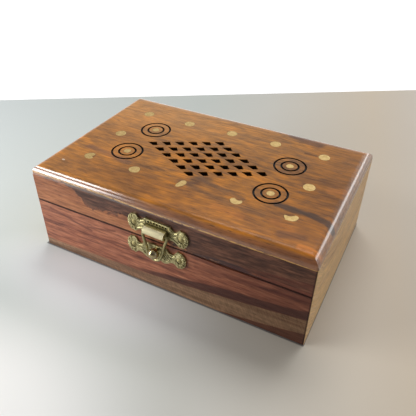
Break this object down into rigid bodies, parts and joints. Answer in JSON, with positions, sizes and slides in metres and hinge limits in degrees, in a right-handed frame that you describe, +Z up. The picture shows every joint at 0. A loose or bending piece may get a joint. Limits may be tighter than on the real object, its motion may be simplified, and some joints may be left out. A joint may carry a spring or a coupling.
{
  "type": "hinged wooden keepsake box",
  "caption": "Rectangular hardwood keepsake box with a hinged, rounded-over lid, pierced rhombic lattice, brass inlays and a brass swing latch.",
  "frame": {"origin": "middle of the footprint, on the underside that rests on the table", "axes": "+X along the front edge to the right as seen from the front, the front with the latch faces -Y, +Z up"},
  "size_m": [0.152, 0.1076, 0.0517],
  "materials": {
    "top_wood": "satin polish",
    "front_wood": "satin polish",
    "side_wood": "satin polish",
    "bottom_wood": "plain",
    "inlay_brass": "brushed, flush with the wood",
    "latch_brass": "antique, dark in the recesses",
    "hinge_brass": "plain"
  },
  "bodies": {
    "base": {"base_front_board": "front_wood", "base_back_board": "front_wood", "base_left_board": "side_wood", "base_right_board": "side_wood", "base_bottom_panel": "bottom_wood", "hinge_left_base_leaf": "hinge_brass", "hinge_right_base_leaf": "hinge_brass", "hinge_left_pin": "hinge_brass", "hinge_right_pin": "hinge_brass", "hinge_base_screws": "hinge_brass", "latch_lower_plate": "latch_brass", "latch_knob": "latch_brass", "latch_lower_nails": "latch_brass"},
    "lid": {"lid_front_board": "front_wood", "lid_back_board": "front_wood", "lid_left_board": "side_wood", "lid_right_board": "side_wood", "lid_top_panel": "top_wood", "inlay_back_1": "inlay_brass", "inlay_back_2": "inlay_brass", "inlay_back_3": "inlay_brass", "inlay_back_4": "inlay_brass", "inlay_back_5": "inlay_brass", "inlay_front_1": "inlay_brass", "inlay_front_2": "inlay_brass", "inlay_front_3": "inlay_brass", "inlay_front_4": "inlay_brass", "inlay_front_5": "inlay_brass", "inlay_left": "inlay_brass", "inlay_right": "inlay_brass", "ring_dot_back_left": "inlay_brass", "ring_dot_back_right": "inlay_brass", "ring_dot_front_left": "inlay_brass", "ring_dot_front_right": "inlay_brass", "hinge_left_lid_leaf": "hinge_brass", "hinge_right_lid_leaf": "hinge_brass", "hinge_lid_screws": "hinge_brass", "latch_upper_plate": "latch_brass", "latch_upper_nails": "latch_brass"},
    "latch_bail": {"latch_bail": "latch_brass"}
  },
  "joints": [
    {"name": "lid_hinge", "type": "hinge", "parent": "base", "child": "lid", "pos_m": [0, 0.049, 0.03115], "axis": [-1, 0, 0], "range_deg": [0, 105]},
    {"name": "bail_swing", "type": "hinge", "parent": "lid", "child": "latch_bail", "pos_m": [-0.00012, -0.05285, 0.0388], "axis": [-0.999, 0, 0.0436], "range_deg": [0, 170]}
  ]
}
